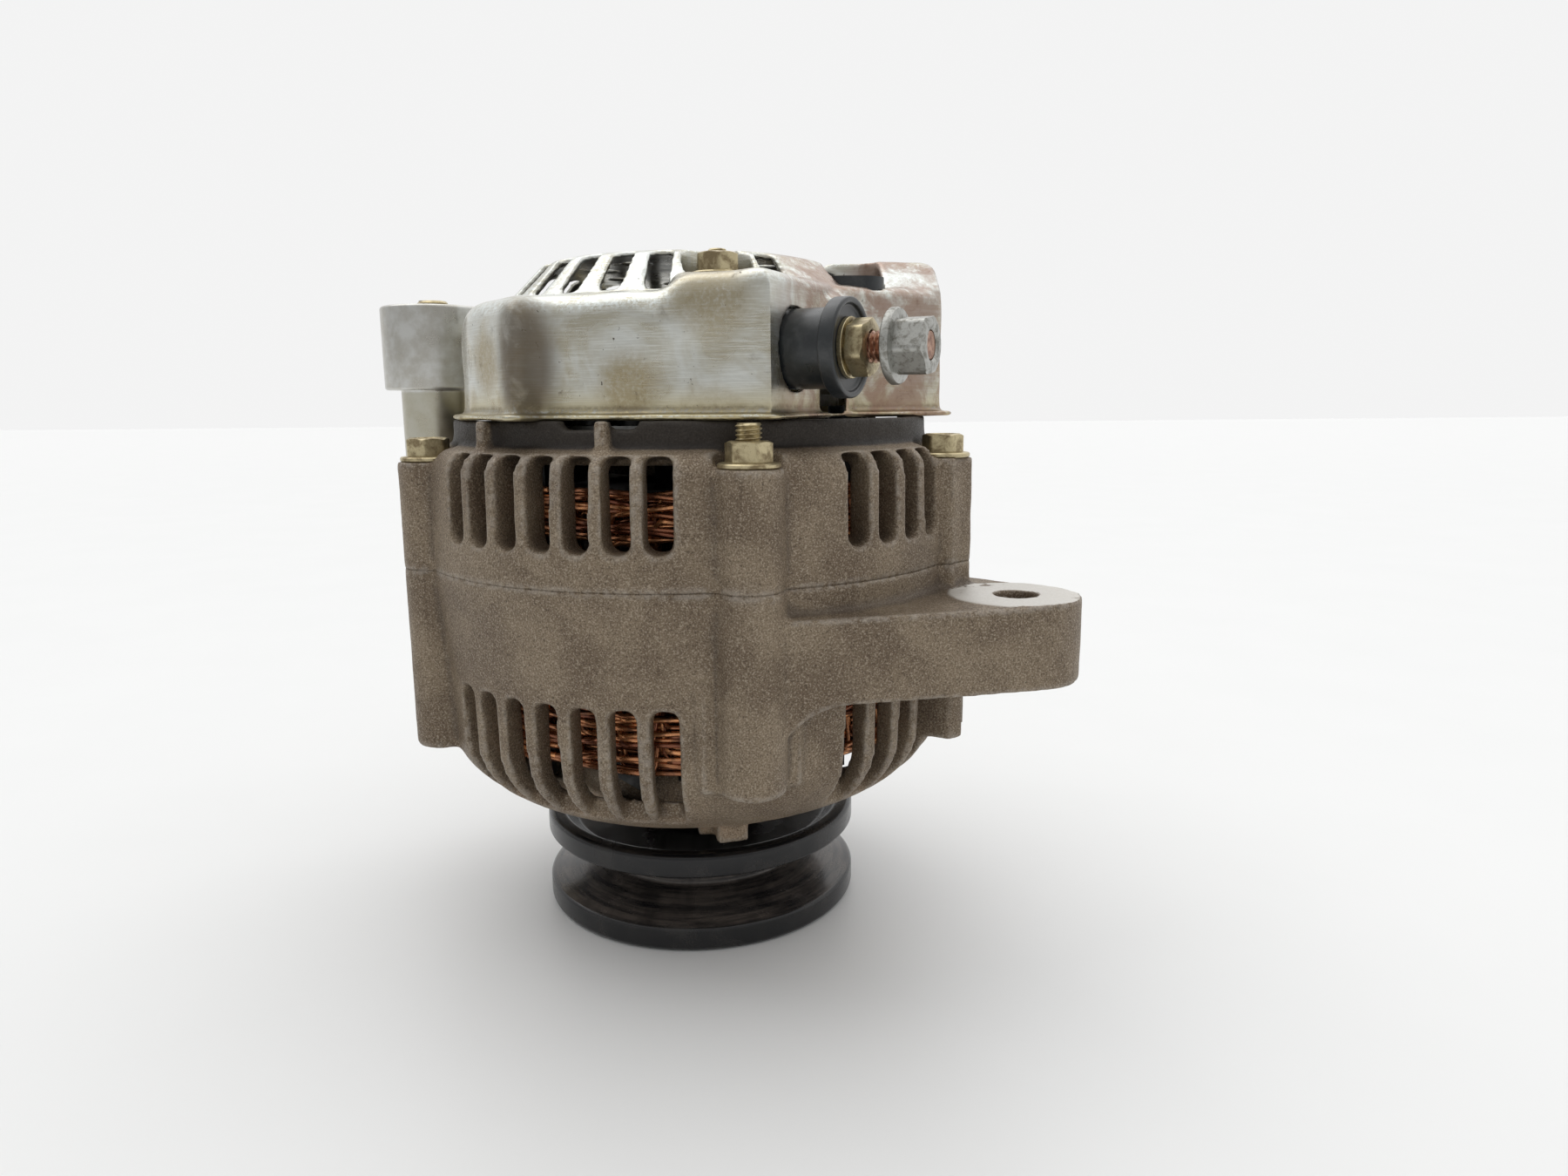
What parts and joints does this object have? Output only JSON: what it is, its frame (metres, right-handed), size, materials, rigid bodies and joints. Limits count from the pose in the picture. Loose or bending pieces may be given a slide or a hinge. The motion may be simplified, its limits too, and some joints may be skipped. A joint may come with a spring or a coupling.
{
  "type": "car alternator",
  "caption": "Compact belt-driven car alternator: ribbed two-part cast housing with pivot ear, V-groove pulley, steel rear cover and battery terminal.",
  "frame": {"origin": "on the shaft's axis, in the plane of the pulley's outer face", "axes": "+Z along the shaft from the pulley to the rear cover; +X towards the side that the pivot ear points to; -Y is the side with the battery terminal"},
  "size_m": [0.1585, 0.1309, 0.1515],
  "materials": {
    "cast_aluminium": "sand-textured, tarnished",
    "zinc_sheet": "zinc plated, stained",
    "yellow_zinc": "yellow zinc, worn",
    "grey_zinc": "dull corroded zinc",
    "machined_steel": "turned, zinc plated",
    "black_steel": "semi-gloss black",
    "bearing_steel": "ground",
    "plain_steel": "oiled",
    "iron": "forged, lacquered",
    "fan_steel": "black oxide",
    "copper_winding": "varnished copper",
    "copper": "bare, dulled",
    "sink_aluminium": "pressed",
    "black_plastic": "moulded",
    "carbon": "graphite",
    "spring_steel": "bright"
  },
  "bodies": {
    "housing": {"drive_end_frame": "cast_aluminium", "rectifier_end_frame": "cast_aluminium", "rear_cover": "zinc_sheet", "stator_core": "iron", "stator_winding": "copper_winding", "front_bearing_outer_ring": "bearing_steel", "front_bearing_retainer": "plain_steel", "retainer_screws": "yellow_zinc", "rear_bearing_outer_ring": "bearing_steel", "rear_bearing_sleeve": "black_plastic", "frame_studs": "yellow_zinc", "frame_nuts": "yellow_zinc", "adjuster_sleeve": "machined_steel", "adjuster_bolt": "yellow_zinc", "negative_heatsink": "sink_aluminium", "positive_heatsink": "sink_aluminium", "rectifier_diodes": "black_plastic", "rectifier_terminal_block": "black_plastic", "voltage_regulator": "black_plastic", "regulator_screws": "yellow_zinc", "brush_holder": "black_plastic", "positive_brush_spring": "spring_steel", "negative_brush_spring": "spring_steel", "cover_studs": "yellow_zinc", "cover_nuts": "yellow_zinc", "b_plus_insulator": "black_plastic", "b_plus_stud": "copper", "b_plus_inner_nut": "yellow_zinc", "b_plus_flange_nut": "grey_zinc", "b_plus_busbar": "copper", "connector_socket": "black_plastic", "connector_pins": "copper"},
    "rotor": {"rotor_shaft": "plain_steel", "pulley": "black_steel", "pulley_nut": "plain_steel", "pulley_collar": "plain_steel", "bearing_spacer": "plain_steel", "front_bearing_inner_ring": "bearing_steel", "rear_bearing_inner_ring": "bearing_steel", "front_claw_pole": "iron", "rear_claw_pole": "iron", "field_coil_bobbin": "black_plastic", "field_coil": "copper_winding", "front_fan": "fan_steel", "rear_fan": "fan_steel", "slip_rings": "copper", "slip_ring_insulators": "black_plastic"},
    "front_balls": {"front_bearing_balls": "bearing_steel", "front_bearing_cage": "plain_steel"},
    "rear_balls": {"rear_bearing_balls": "bearing_steel", "rear_bearing_cage": "black_plastic"},
    "positive_brush": {"positive_brush": "carbon"},
    "negative_brush": {"negative_brush": "carbon"}
  },
  "joints": [
    {"name": "rotor_spin", "type": "hinge", "parent": "housing", "child": "rotor", "pos_m": [0, 0, 0], "axis": [0, 0, 1], "continuous": true},
    {"name": "front_cage_turn", "type": "hinge", "parent": "housing", "child": "front_balls", "pos_m": [0, 0, 0], "axis": [0, 0, 1], "continuous": true},
    {"name": "rear_cage_turn", "type": "hinge", "parent": "housing", "child": "rear_balls", "pos_m": [0, 0, 0], "axis": [0, 0, 1], "continuous": true},
    {"name": "positive_brush_slide", "type": "slide", "parent": "housing", "child": "positive_brush", "axis": [0, 1, 0], "range_m": [0, 0.005], "stiffness_N_per_m": 150, "springref_m": -0.015, "deforming": ["positive_brush_spring"]},
    {"name": "negative_brush_slide", "type": "slide", "parent": "housing", "child": "negative_brush", "axis": [0, 1, 0], "range_m": [0, 0.005], "stiffness_N_per_m": 150, "springref_m": -0.015, "deforming": ["negative_brush_spring"]}
  ],
  "couplings": [
    {"joint": "front_cage_turn", "follows": "rotor_spin", "ratio": 0.3656},
    {"joint": "rear_cage_turn", "follows": "rotor_spin", "ratio": 0.3659}
  ]
}
